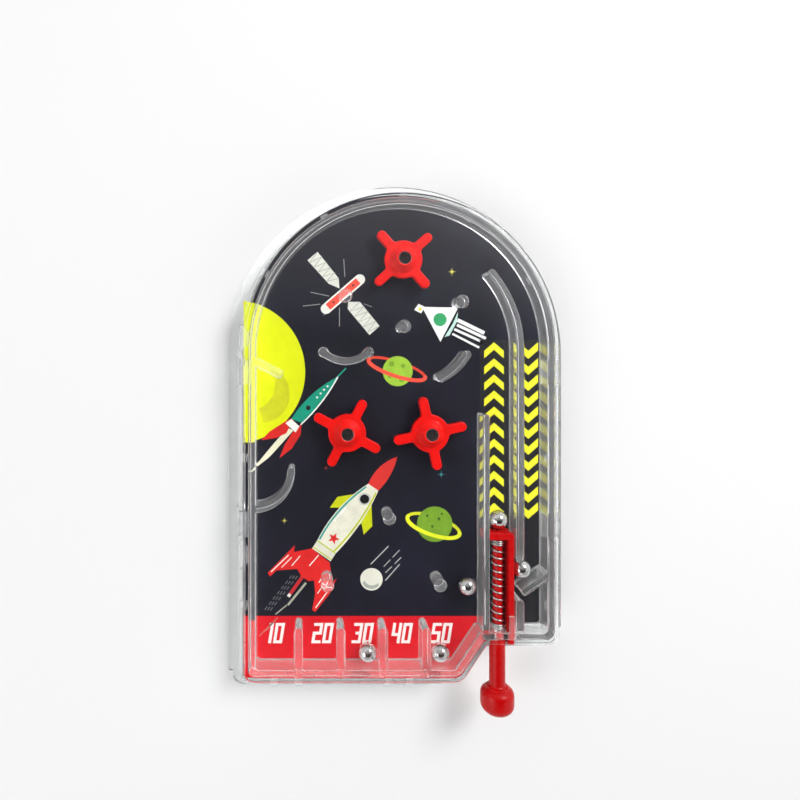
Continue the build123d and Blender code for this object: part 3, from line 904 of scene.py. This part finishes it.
def mitred(path, width):
    """Closed outline of a stroke of even width with mitred corners and square ends."""
    path = [Vector(p) for p in path]
    left, right = [], []
    for i, p in enumerate(path):
        a = (p - path[i - 1]).normalized() if i else (path[1] - p).normalized()
        b = (path[i + 1] - p).normalized() if i + 1 < len(path) else a
        na, nb = Vector((-a.y, a.x)), Vector((-b.y, b.x))
        mid = (na + nb).normalized()
        reach = mid * width / 2 / max(mid.dot(na), 0.25)
        left.append(p + reach)
        right.append(p - reach)
    return [(v.x, v.y) for v in right + left[::-1]]


def star(x, y, long_ray, short_ray, waist, points=8, turn=0.0):
    """Rays of two lengths round a small middle."""
    shape = []
    for i in range(points):
        a = turn + 2 * pi * i / points
        r = long_ray if i % 2 == 0 else short_ray
        shape.append((x + r * cos(a), y + r * sin(a)))
        b = a + pi / points
        shape.append((x + waist * cos(b), y + waist * sin(b)))
    return shape


def print_sun():
    cx, cy, r = -42.8, -5.7, 18.7
    edge = -(FIELD_HALF + CARD_RIM) + 0.05
    a = atan2(sqrt(r * r - (edge - cx) ** 2), edge - cx)
    ink("sun", [arc(cx, cy, r, -a, a, 64)], "D9E102", 1, 0.05)
    shade = arc(-35.5, -11.5, 7.4, radians(-85), radians(55), 24)
    shade += arc(-38.5, -9.0, 6.6, radians(40), radians(-70), 20)
    ink("sun_shade", [shade], "C6C81C", 2, 0.12)


def print_satellite():
    panels = [
        [(-20.9, 25.5), (-23.5, 23.3), (-18.0, 17.2), (-15.2, 16.0), (-15.4, 18.6)],
        [(-13.1, 10.7), (-12.9, 12.5), (-9.9, 12.5), (-4.8, 6.2), (-7.4, 3.9)],
    ]
    ink("solar_panels", panels, "D9DAD0", 1)
    truss = []
    for a, b, c, d in (
        ((-20.9, 25.5), (-15.4, 18.6), (-23.5, 23.3), (-18.0, 17.2)),
        ((-9.9, 12.5), (-4.8, 6.2), (-13.1, 10.7), (-7.4, 3.9)),
    ):
        a, b, c, d = map(Vector, (a, b, c, d))
        zigzag = []
        for i in range(5):
            zigzag += [a.lerp(b, i / 5), c.lerp(d, (i + 0.5) / 5)]
        truss.append(mitred(zigzag + [b], 0.16))
    ink("solar_truss", truss, "A2A49A", 2)
    ends = [Vector((-18.7, 10.7)), Vector((-9.9, 18.3))]
    ink("satellite_hull", [ribbon([ends[0], ends[0].lerp(ends[1], 0.5), ends[1]], 2.7)], "ECEBE2", 3)
    a, b = ends[0].lerp(ends[1], 0.06), ends[0].lerp(ends[1], 0.95)
    ink("satellite_band", [line(a, b, 1.9)], "F2503C", 4)
    ports = [line(ends[0].lerp(ends[1], t), ends[0].lerp(ends[1], t + 0.04), 0.5) for t in (0.2, 0.78)]
    ink("satellite_ports", ports, "3A1A1E", 5)
    rays = [
        line((-14.1, 23.6), (-13.8, 19.0), 0.22), line((-22.7, 15.0), (-17.9, 14.0), 0.2),
        line((-24.7, 11.4), (-20.2, 11.9), 0.2), line((-15.2, 11.0), (-15.2, 6.1), 0.22),
        line((-8.9, 12.0), (-6.8, 11.2), 0.18), line((-19.3, 9.0), (-18.5, 10.0), 0.2),
    ]
    ink("satellite_aerials", rays, "8E8E90", 1)


def print_lander():
    ink("lander", [[(6.2, 11.2), (15.6, 11.0), (11.0, 2.1)]], "F2F3F0", 1)
    ink("lander_nose", [[(5.3, 12.0), (7.0, 11.2), (6.0, 9.5), (4.2, 10.4)]], "ECEDE8", 2)
    ink("lander_lamp", [circle(5.7, 10.6, 0.42, 20)], "E3D23A", 3)
    ink("lander_port", [circle(10.9, 7.9, 1.7)], "35A567", 2)
    ink("lander_edge", [[(15.6, 10.0), (15.3, 7.4), (13.3, 3.7), (12.1, 3.4), (14.3, 7.0)]], "BFE0D8", 2)
    stripes = [
        line((15.4, 7.8), (22.4, 4.4), 0.95), line((15.3, 6.5), (22.8, 3.0), 0.75),
        line((14.6, 5.4), (22.1, 2.0), 0.65), line((14.1, 4.2), (21.1, 0.6), 0.55),
    ]
    ink("lander_exhaust", stripes, "F0F0EE", 1)


def print_stars():
    yellow = [star(14.0, 20.3, 1.25, 0.7, 0.24), star(-29.5, -44.3, 1.0, 0.45, 0.16)]
    ink("yellow_stars", yellow, "E6DE6A", 1)
    ink("teal_star", [star(11.2, -32.3, 1.2, 0.5, 0.18)], "3E9AA0", 1)
    ink("red_star", [star(-18.7, -30.6, 0.8, 0.35, 0.15)], "B8403A", 1)


def ring_arc(cx, cy, long_half, short_half, tilt, start, end, width, steps=40):
    """Part of a tilted flat ring, drawn with an even stroke."""
    t = radians(tilt)
    path = []
    for i in range(steps + 1):
        a = radians(start + (end - start) * i / steps)
        px, py = long_half * cos(a), short_half * sin(a)
        path.append((cx + px * cos(t) - py * sin(t), cy + px * sin(t) + py * cos(t)))
    return ribbon(path, width, 6)


def print_planets():
    ink("planet_one", [circle(-0.1, -5.5, 3.9)], "9BC53A", 2, 0.16)
    patches = ((-1.6, -3.6, 0.7), (1.3, -4.1, 0.55), (0.9, -7.8, 0.6), (-2.2, -7.0, 0.45))
    ink("planet_one_patches", [circle(x, y, r, 16) for x, y, r in patches], "78A22A", 3)
    ink("planet_one_ring_back", [ring_arc(-0.3, -4.9, 7.7, 1.9, -18, 12, 168, 0.7)], "D8402E", 1)
    ink("planet_one_ring", [ring_arc(-0.3, -4.9, 7.7, 1.9, -18, 172, 368, 1.0)], "F4533F", 4)
    ink("planet_two", [circle(9.5, -45.2, 4.6)], "76A02A", 2, 0.18)
    craters = ((7.6, -43.0, 0.35), (10.6, -43.8, 0.4), (11.4, -42.5, 0.3), (8.9, -45.8, 0.35))
    ink("planet_two_craters", [circle(x, y, r, 12) for x, y, r in craters], "3C5A18", 3)
    ink("planet_two_ring_back", [ring_arc(9.2, -45.6, 7.1, 2.4, -18.5, 15, 165, 0.8)], "D8DE28", 1)
    ink("planet_two_ring", [ring_arc(9.2, -45.6, 7.1, 2.4, -18.5, 172, 368, 1.0)], "E8F02A", 4)


def print_small_rocket():
    ink("small_fins", [
        [(-26.6, -17.2), (-29.4, -18.6), (-33.4, -21.2), (-35.5, -23.4), (-31.6, -22.8), (-29.0, -21.6)],
        [(-25.0, -19.0), (-25.3, -22.0), (-27.6, -25.6), (-30.8, -28.1), (-29.4, -24.6), (-27.4, -21.4)],
    ], "D2201C", 2)
    ink("small_flame", [
        [(-28.6, -20.2), (-32.2, -24.2), (-38.4, -31.7), (-33.4, -27.8), (-29.4, -23.4), (-27.2, -20.9)],
    ], "E4DFC4", 1)
    ink("small_collar", [[(-27.7, -17.9), (-25.6, -19.8), (-26.6, -21.4), (-29.2, -19.0)]], "EFEFE6", 3)
    left = three_point_arc((-15.6, -6.9), (-20.0, -9.6), (-27.7, -17.9), 14)
    right = three_point_arc((-25.6, -19.8), (-19.4, -12.8), (-15.6, -6.9), 14)
    ink("small_body", [left + right[1:-1]], "0E9478", 4)
    edge = three_point_arc((-25.2, -19.3), (-19.1, -12.5), (-15.7, -7.1), 14)
    ink("small_edge", [ribbon(edge, 0.35, 4)], "F2F3EE", 5)
    ink("small_aerial", [line((-13.5, -4.7), (-15.8, -7.1), 0.35)], "12A184", 4)
    dots = [circle(x, y, 0.26, 12) for x, y in ((-18.3, -9.4), (-19.2, -10.3), (-20.1, -11.3), (-21.0, -12.3))]
    ink("small_rivets", dots, "F2F3EE", 5)
    ink("small_port", [circle(-23.3, -15.0, 0.62, 20)], "15171C", 6)


def print_big_rocket():
    ink("big_tail", [[
        (-22.3, -51.5), (-27.0, -52.4), (-26.8, -50.7), (-33.8, -57.8), (-33.2, -58.8), (-31.6, -57.2),
        (-26.2, -56.8), (-25.0, -58.8), (-23.2, -60.0), (-21.8, -59.8), (-21.5, -63.2), (-22.3, -67.4),
        (-21.5, -68.0), (-17.7, -63.2), (-15.9, -59.2), (-17.1, -60.4), (-17.7, -55.2),
    ]], "D8201E", 2)
    ink("big_fins", [
        [(-17.7, -40.9), (-15.7, -38.1), (-10.7, -37.3), (-13.9, -40.9)],
        [(-6.9, -39.9), (-6.7, -45.7), (-8.9, -47.9), (-9.5, -44.9), (-12.3, -47.7)],
    ], "C8CF0A", 1)
    nose = three_point_arc((-0.2, -27.7), (-4.8, -30.4), (-7.7, -34.7), 10)
    base = three_point_arc((-5.1, -36.5), (-2.2, -32.8), (-0.2, -27.7), 10)
    ink("big_nose", [nose + base[:-1]], "D9322C", 4)
    side_a = three_point_arc((-7.7, -34.7), (-15.6, -41.4), (-20.9, -49.3), 14)
    side_b = three_point_arc((-16.1, -52.7), (-10.2, -45.6), (-5.1, -36.5), 14)
    ink("big_body", [side_a + side_b], "E3E1CE", 3)
    ink("big_collar", [[(-20.9, -49.3), (-16.1, -52.7), (-17.5, -54.8), (-22.3, -51.5)]], "DAD9C6", 3)
    shade = three_point_arc((-8.4, -35.6), (-15.3, -41.8), (-20.3, -49.0), 12)
    ink("big_shade", [ribbon(shade, 0.5, 4)], "3E9C90", 4)
    ink("big_line", [
        ribbon(three_point_arc((-16.6, -52.2), (-10.7, -45.3), (-5.8, -37.2), 12), 0.45, 4),
        line((-20.9, -49.5), (-16.3, -52.7), 0.3),
        line((-21.9, -51.2), (-17.3, -54.4), 0.3),
    ], "B9C41C", 4)
    ink("big_port_rim", [circle(-8.7, -38.7, 1.6, 32)], "BFC3BC", 5)
    ink("big_port", [circle(-8.7, -38.7, 1.2, 32)], "0C0D12", 6)
    ink("big_strut", [line((-16.5, -44.3), (-13.5, -40.9), 0.4)], "F0F0EA", 4)
    ink("big_emblem", [star(-16.7, -48.9, 1.6, 1.6, 0.672, 5, radians(62))], "D8201E", 5)
    highlights = [
        line((-33.0, -57.6), (-28.4, -53.2), 0.28), line((-30.2, -56.4), (-27.6, -53.8), 0.22),
        line((-27.6, -56.0), (-25.4, -53.4), 0.22), line((-21.4, -66.9), (-17.0, -60.9), 0.28),
        line((-20.9, -63.2), (-18.2, -59.2), 0.22), line((-20.6, -60.4), (-18.4, -57.2), 0.22),
        line((-23.0, -56.0), (-20.6, -53.2), 0.26),
    ]
    ink("big_highlights", highlights, "F1E9E2", 3)


def print_exhaust():
    ink("exhaust_tube", [line((-24.8, -58.8), (-28.0, -63.3), 0.9)], "B8252A", 1)
    ink("exhaust_tip", [line((-28.0, -63.3), (-28.5, -64.0), 0.8)], "E8E4DA", 2)
    start, along = Vector((-26.4, -58.4)), Vector((-7.9, -10.0))
    across = Vector((-0.78, 0.62))
    dashes = []
    for row in range(3):
        for i in range(7):
            a = start + across * (row * 0.62 - 0.4) + along * ((i + 0.22 * row) / 7.4)
            dashes.append(line(a, a + along * 0.085, 0.26))
    ink("exhaust_dashes", dashes, "5E6166", 1)
    pale = [line((-23.9, -60.4), (-28.6, -66.2), 0.55), line((-28.9, -66.2), (-31.8, -68.6), 0.3)]
    ink("exhaust_pale", pale, "A7A795", 1)
    spill = [line((-31.2, -69.4), (-36.0, -74.2), 0.3), line((-31.8, -70.2), (-34.4, -73.0), 0.2)]
    ink("exhaust_spill", spill, "C76A62", 3)


def print_moon():
    ink("moon", [circle(-6.9, -59.5, 2.9)], "E2E1D2", 2, 0.06)
    shade = arc(-6.9, -59.5, 2.5, radians(200), radians(320), 18)
    shade += arc(-6.7, -58.9, 2.2, radians(315), radians(205), 16)
    ink("moon_shade", [shade], "A3A9A0", 3)
    tails = [
        line((-7.1, -55.6), (-2.5, -50.9), 0.24), line((-3.3, -59.8), (0.4, -55.6), 0.24),
        line((-3.7, -56.2), (-2.0, -54.4), 0.18), line((-1.4, -53.8), (0.4, -51.9), 0.18),
        line((-3.3, -57.8), (-1.6, -56.2), 0.2), line((-0.9, -55.5), (0.8, -53.8), 0.2),
    ]
    ink("moon_tails", tails, "C9CBC8", 1)


def digit_strokes(symbol, w, h, stroke):
    """Squared strokes of one score digit in a box of width w and height h; none overlap."""
    side = w - stroke / 2
    corners = {
        "0": [[(w / 2, 0), (0, 0), (0, h), (w / 2, h)], [(w / 2, h), (w, h), (w, 0), (w / 2, 0)]],
        "1": [[(w * 0.75, -stroke / 2), (w * 0.75, h), (w * 0.3, h)]],
        "2": [[(w + stroke / 2, 0), (0, 0), (0, h * 0.5), (w, h * 0.5), (w, h), (-stroke / 2, h)]],
        "3": [[(-stroke / 2, 0), (w, 0), (w, h), (-stroke / 2, h)], [(w * 0.2, h * 0.5), (side, h * 0.5)]],
        "4": [[(w, -stroke / 2), (w, h + stroke / 2)], [(side, h * 0.42), (0, h * 0.42), (0, h + stroke / 2)]],
        "5": [[(-stroke / 2, 0), (w, 0), (w, h * 0.52), (0, h * 0.52), (0, h), (w + stroke / 2, h)]],
    }
    return corners[symbol]


def print_scores():
    """Generic score numbers, 10 to 50."""
    height, slant, stroke = 4.5, tan(radians(9)), 0.75
    low_y = -75.7
    starts = {"10": -34.5, "20": -22.1, "30": -11.7, "40": -1.6, "50": 8.7}
    shapes = []
    for number, x0 in starts.items():
        x = x0
        for symbol in number:
            width = 1.6
            for run in digit_strokes(symbol, width, height, stroke):
                shapes.append(mitred([(x + px + py * slant, low_y + py) for px, py in run], stroke))
            x += 2.45 if symbol == "1" else 2.75
    ink("scores", shapes, "F4E9E6", 3, 0.04)


def print_band():
    low_y = -84.95
    right_low = slope_x(CARD_RIM, low_y) - 0.05
    left = -(FIELD_HALF + CARD_RIM) + 0.05
    top = -69.0
    right_top = slope_x(CARD_RIM, -71.6) - 0.05
    shape = [(left, top), (left, low_y + 0.8), (left + 0.8, low_y), (right_low - 1, low_y)]
    shape += [(right_low + 0.6, low_y + 1.1), (right_top, -71.5), (20.6, -71.5), (20.6, top)]
    ink("score_band", [shape], "D3081A", 1, 0.07)


def chevron(x, y, half, rise, thick):
    arm, under = y + rise, y + rise + thick
    return [(x, y), (x - half, arm), (x - half, under), (x, y + thick), (x + half, under), (x + half, arm)]


def print_chevrons():
    panel_left, panel_right = 21.2, FIELD_HALF + CARD_RIM - 0.1
    panel = [(panel_left, -71.4), (panel_right, -71.4), (panel_right, 2.6), (panel_left, 2.6)]
    ink("lane_panel", [panel], "1B1B20", 1)
    up = [chevron(24.9, 2.0 - 4.17 * n, 2.55, -2.2, -1.95) for n in range(11)]
    down = [chevron(33.8, -2.3 - 4.15 * n, -2.5, 2.2, 2.1) for n in range(11)]
    ink("chevrons_up", up, "EEEA2E", 2, 0.05)
    ink("chevrons_down", down, "EEEA2E", 2, 0.05)


def dress_card():
    """Night-blue printed face with paper grain; the edges and the back are bare pale board."""
    material, tree, shader, _ = start_material("card_ground")
    printed = ramp(tree, noise(tree, place(tree), 60, 4), [(0.3, linear("0D0D18")), (0.72, linear("161626"))])
    board = ramp(tree, noise(tree, place(tree), 900, 5), [(0.3, (0.60, 0.59, 0.56)), (0.7, (0.72, 0.71, 0.68))])
    facing = component(tree, add_node(tree, "NewGeometry", {}).outputs["True Normal"], "Z")
    mix = tree.nodes.new("ShaderNodeMix")
    mix.data_type = "RGBA"
    feed(tree, mix, {0: spread(tree, facing, 0.4, 0.6, 0.0, 1.0), 6: board, 7: printed})
    grain = noise(tree, place(tree), 5200, 3)
    feed(tree, shader, {
        "Base Color": mix.outputs[2],
        "Roughness": spread(tree, grain, 0.3, 0.7, 0.42, 0.6),
        "Normal": bump(tree, grain, 0.000006, 0.1),
        "Specular IOR Level": 0.25,
    })
    dress("playfield_card", material)


def dress(node, material):
    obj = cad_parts[node]
    obj.data.materials.clear()
    obj.data.materials.append(material)


def make_printing():
    dress_card()
    for motif in (
        print_chevrons, print_sun, print_satellite, print_lander, print_stars, print_planets,
        print_small_rocket, print_big_rocket, print_exhaust, print_moon, print_band, print_scores,
    ):
        motif()


# ---------------------------------------------------------------- setting

def make_floor():
    bm = bmesh.new()
    skin(bm, [level(circle(0, -20, 3000, 96), -6), level(circle(0, -20, 3000, 96), -0.02)])
    floor = new_object("floor", bm)
    material, tree, shader, _ = start_material("pale_floor")
    colours = ramp(tree, noise(tree, place(tree), 3, 2), [(0.3, (0.90, 0.90, 0.90)), (0.7, (0.93, 0.93, 0.93))])
    feed(tree, shader, {"Base Color": colours, "Roughness": 0.9, "Specular IOR Level": 0.1})
    floor.data.materials.append(material)


def make_world():
    """Bright all round, dim overhead, with a soft lobe that leans towards +Y."""
    world = bpy.data.worlds.new("studio")
    bpy.context.scene.world = world
    world.use_nodes = True
    tree = world.node_tree
    tree.nodes.clear()
    sky = add_node(tree, "TexCoord", {}).outputs["Generated"]
    overhead = spread(tree, component(tree, sky, "Z"), 0.66, 0.84, 1.0, 0.0)
    lean = spread(tree, component(tree, sky, "Y"), 0.02, 0.24, 0.0, 0.44)
    both = combined(tree, "MAXIMUM", overhead, lean)
    colours = ramp(tree, both, [(0.0, (0.03, 0.028, 0.03)), (1.0, (1.0, 1.0, 1.0))])
    back = add_node(tree, "Background", {"Color": colours, "Strength": 0.87})
    add_node(tree, "OutputWorld", {"Surface": back.outputs["Background"]})


def area_light(name, spot, aim, size, power):
    data = bpy.data.lights.new(name, "AREA")
    data.shape = "DISK"
    data.size = size
    data.energy = power
    light = bpy.data.objects.new(name, data)
    light.location = spot
    light.rotation_euler = (Vector(aim) - Vector(spot)).to_track_quat("-Z", "Y").to_euler()
    bpy.context.scene.collection.objects.link(light)


def make_camera():
    data = bpy.data.cameras.new("camera")
    data.sensor_width = 36
    data.lens = 26.8
    data.shift_x = 0.106
    data.shift_y = -0.0625
    data.clip_start = 0.005
    camera = bpy.data.objects.new("camera", data)
    camera.location = (-0.0215, 0, 0.1628)
    bpy.context.scene.collection.objects.link(camera)
    bpy.context.scene.camera = camera


make_camera()
make_cover()
make_tray()
for spinner_node, spinner_turn in (("spinner_top", 42), ("spinner_left", 62), ("spinner_right", 12)):
    make_spinner(spinner_node, spinner_turn)
make_plunger()
make_spring()
make_printing()
for ball in [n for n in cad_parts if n.startswith("ball_")]:
    dress(ball, BALL_STEEL)
make_floor()
make_world()
area_light("key", (0.36, 0.34, 0.42), (0, -0.02, 0.01), 0.26, 2.5)
area_light("fill", (-0.50, -0.20, 0.42), (0, -0.02, 0.01), 0.4, 1.25)
bpy.context.scene.view_settings.view_transform = "Standard"
